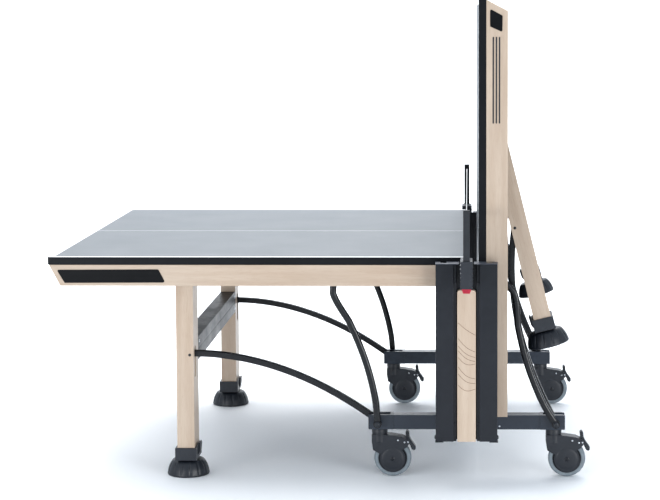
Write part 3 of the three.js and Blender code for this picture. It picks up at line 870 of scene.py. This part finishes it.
# ---- casters -----------------------------------------------------------------------------------
def caster(end_name, side_name):
    place, name = caster_place(end_name, side_name), f"{end_name}_{side_name}"
    side = SIDES[side_name]
    cx, cz = WHEEL["trail"], WHEEL["radius"]
    cheek_in = WHEEL["half"] + 2
    cheek_out = cheek_in + 6
    hood_radius = 43
    start, stop = math.pi - 0.35, 2 * math.pi + 0.75
    disc = [(cx + hood_radius * math.cos(a), cz + hood_radius * math.sin(a))
            for a in (start + (stop - start) * k / 40 for k in range(41))]
    px, pz = PEDAL["x"], PEDAL["z"]
    beak = [(cx + 47, cz + 38), (px + 4, pz - 6), (px + 4, pz + 4), (cx + 44, cz + 68),
            (cx + 30, cz + 74), (cx, 141)]
    outline = [(-26, 118), (-22, 92)] + disc + beak + [(26, 143), (-26, 143)]
    shell = prism(outline, -cheek_out, cheek_out)
    well = lathe([(0, -cheek_in), (cz + 4, -cheek_in), (cz + 4, cheek_in), (0, cheek_in)], 72, "y")
    shell = boolean(shell, moved(well, cx, 0, cz), "DIFFERENCE")
    half = PEDAL["half"] + 0.3
    shell = boolean(shell, box(px - PEDAL["hub"] - 1, px + 30, -half, half, 90, 150), "DIFFERENCE")
    body = f"caster_{name}"
    piece(f"caster_hood_{name}", shell, body, plastic, place, 1.8, 3, replaces=f"caster_fork_{name}")
    # The well isn't cut out of the housing, whose underside reaches up to 5.5 mm into the tyre.
    housing = lathe([(0, 115.8), (24, 115.8), (26.5, 118), (26.5, 142), (25.6, 143), (25.6, 147), (26.5, 148),
                     (26.5, 160), (24.5, 162.6), (0, 162.6)], 64)
    piece(f"caster_housing_{name}", housing, body, plastic, place, angle=40)
    for facing in (-1, 1):
        label = "outer" if facing == side else "inner"
        cover = lathe([(0, 1.8), (12, 2.2), (27, 1.9), (34, 0.9), (36, 0), (36, -1.2)], 64)
        bmesh.ops.rotate(cover, verts=cover.verts, matrix=Matrix.Rotation(-facing * math.pi / 2, 3, "X"))
        piece(f"caster_hub_cover_{name}_{label}", moved(cover, cx, facing * cheek_out, cz), body, plastic,
              place, angle=40)
        bolt = bolt_head(cx, cz, facing * (cheek_out + 1.6), facing, 7.5, 3.0)
        piece(f"caster_axle_bolt_{name}_{label}", bolt, body, steel, place, angle=30)
        for k, (x, z) in enumerate(((62, 125), (84, 118))):
            rivet = lathe([(0, 1.7), (2, 1.5), (3.1, 0.6), (3.2, -0.5)], 24)
            bmesh.ops.rotate(rivet, verts=rivet.verts, matrix=Matrix.Rotation(-facing * math.pi / 2, 3, "X"))
            piece(f"caster_rivet_{name}_{label}_{k + 1}", moved(rivet, x, facing * cheek_out, z), body,
                  bright, place, angle=50)
    tyre(name, place)
    pedal(name, place)


def tyre(name, place):
    r, h = WHEEL["radius"], WHEEL["half"]
    centre = place @ shift(WHEEL["trail"], 0, r)
    tread = [(r - 14, -h + 1), (r - 9, -h), (r - 4.5, -h + 1.2), (r - 1.4, -h + 5), (r - 0.2, -h + 11),
             (r, 0), (r - 0.2, h - 11), (r - 1.4, h - 5), (r - 4.5, h - 1.2), (r - 9, h), (r - 14, h - 1)]
    piece(f"caster_tyre_{name}", lathe(tread + [tread[0]], 96, "y"), f"wheel_{name}", rubber, centre,
          replaces=f"caster_wheel_{name}", angle=60)
    rim = [(6.4, -h + 1), (14, -h + 1), (16, -h + 3), (r - 20, -h + 4), (r - 17, -h + 1),
           (r - 14.2, -h + 1.2), (r - 14.2, h - 1.2), (r - 17, h - 1), (r - 20, h - 4), (16, h - 3),
           (14, h - 1), (6.4, h - 1)]
    piece(f"caster_rim_{name}", lathe(rim + [rim[0]], 72, "y"), f"wheel_{name}", plastic, centre, angle=40)


def pedal(name, place):
    """Bent brake rocker with two grooves cut into its upper lobe."""
    lobes = [(-6, 5), (-7, 14), (-9, 31), (-6, 36), (0, 36), (3, 30), (4, 15), (10, 3), (25, -18), (25, -27),
             (19, -31), (12, -27), (4, -9), (0, -7)]
    corner = [1.5, 5, 3, 3, 3, 3, 6, 4, 4, 4, 4, 4, 4, 1.5]
    half, bore = PEDAL["half"], PEDAL["bore"]
    body = prism(rounded(lobes, corner, 6), -half, half)
    hub = lathe([(0, -half), (PEDAL["hub"], -half), (PEDAL["hub"], half), (0, half)], 40, "y")
    body = boolean(body, hub, "UNION")
    body = boolean(body, lathe([(0, -half - 5), (bore, -half - 5), (bore, half + 5), (0, half + 5)], 28, "y"),
                   "DIFFERENCE")
    for z in (17, 23):
        body = boolean(body, box(0.4, 6, -half - 1, half + 1, z, z + 1.6), "DIFFERENCE")
    pivot = place @ shift(PEDAL["x"], 0, PEDAL["z"])
    piece(f"brake_pedal_rocker_{name}", body, f"pedal_{name}", plastic, pivot, 0.7, 2,
          replaces=f"brake_pedal_{name}")
    reach = WHEEL["half"] + 9.2
    pin = lathe([(0, -reach), (2.4, -reach), (3, -reach + 0.6), (3, reach - 0.6), (2.4, reach),
                 (0, reach)], 28, "y")
    piece(f"brake_pin_{name}", pin, f"caster_{name}", bright, pivot, angle=40)


# ---- stage -------------------------------------------------------------------------------------
def floor():
    """Pale floor that runs up into a pale backdrop in one curve."""
    reach, back, rise, bend = 24.0, 9.0, 9.0, 3.0
    line = [(-reach, 0.0), (back - bend, 0.0)]
    line += [(back - bend + bend * math.sin(a), bend - bend * math.cos(a))
             for a in (math.pi / 2 * k / 12 for k in range(1, 13))]
    line.append((back, rise))
    bm = bmesh.new()
    rows = [[bm.verts.new((x, y, z)) for x in (-reach, reach)] for y, z in line]
    for one, two in zip(rows, rows[1:]):
        bm.faces.new((one[0], one[1], two[1], two[0]))
    for f in bm.faces:
        f.smooth = True
    mesh = bpy.data.meshes.new("floor")
    bm.to_mesh(mesh)
    bm.free()
    obj = bpy.data.objects.new("floor", mesh)
    bpy.context.collection.objects.link(obj)
    n = Nodes("floor_paint")
    cloud = n.noise(0.8, 3.0)
    mesh.materials.append(n.finish(
        Base_Color=n.mix(n.between(cloud, 0.3, 0.7), rgb(247, 249, 252), rgb(250, 251, 253)),
        Roughness=n.between(cloud, 0.3, 0.7, 0.55, 0.65)))


def area_light(name, at, target, size, power, colour=(1, 1, 1)):
    data = bpy.data.lights.new(name, "AREA")
    data.shape, data.size, data.size_y, data.energy, data.color = "RECTANGLE", size[0], size[1], power, colour
    obj = bpy.data.objects.new(name, data)
    obj.location = at
    obj.rotation_euler = (Vector(target) - Vector(at)).to_track_quat("-Z", "Y").to_euler()
    bpy.context.collection.objects.link(obj)


def lights():
    """A bright world and four soft lights: overhead, two low in front and one on the backdrop."""
    world = bpy.data.worlds.new("studio")
    bpy.context.scene.world = world
    world.use_nodes = True
    background = world.node_tree.nodes["Background"]
    background.inputs["Color"].default_value = (0.80, 0.90, 1.0, 1)
    background.inputs["Strength"].default_value = 0.92
    area_light("overhead", (-0.9, 1.5, 5.0), (0.0, 0.6, 0), (7.5, 5.5), 400, (1.0, 0.985, 0.96))
    area_light("front_right", (5.0, -6.4, 1.0), (0.2, 0, 0.45), (3.2, 1.4), 300)
    area_light("front_left", (-4.4, -6.4, 0.8), (-0.3, 0, 0.4), (3.2, 1.4), 210)
    area_light("backdrop", (0, 4.0, 4.8), (0, 8.5, 1.5), (9.0, 1.0), 420)


def camera():
    """A long lens 7 m in front of the table's middle, near the net plane, 1.56 m up and tilted down."""
    data = bpy.data.cameras.new("camera")
    data.sensor_width, data.lens = 36, 105.75
    data.shift_x, data.shift_y = -0.15, -0.12
    obj = bpy.data.objects.new("camera", data)
    obj.location = (0.4871, -7.026, 1.5628)
    obj.rotation_euler = (math.radians(90 - 4.745), math.radians(0.1), math.radians(1.16))
    bpy.context.collection.objects.link(obj)
    bpy.context.scene.camera = obj


for one_end in ENDS:
    table_half(one_end)
    legs(one_end)
    arms(one_end)
    for one_side in SIDES:
        caster(one_end, one_side)
chassis()
floor()
lights()
camera()
bpy.context.scene.view_settings.view_transform = "Standard"
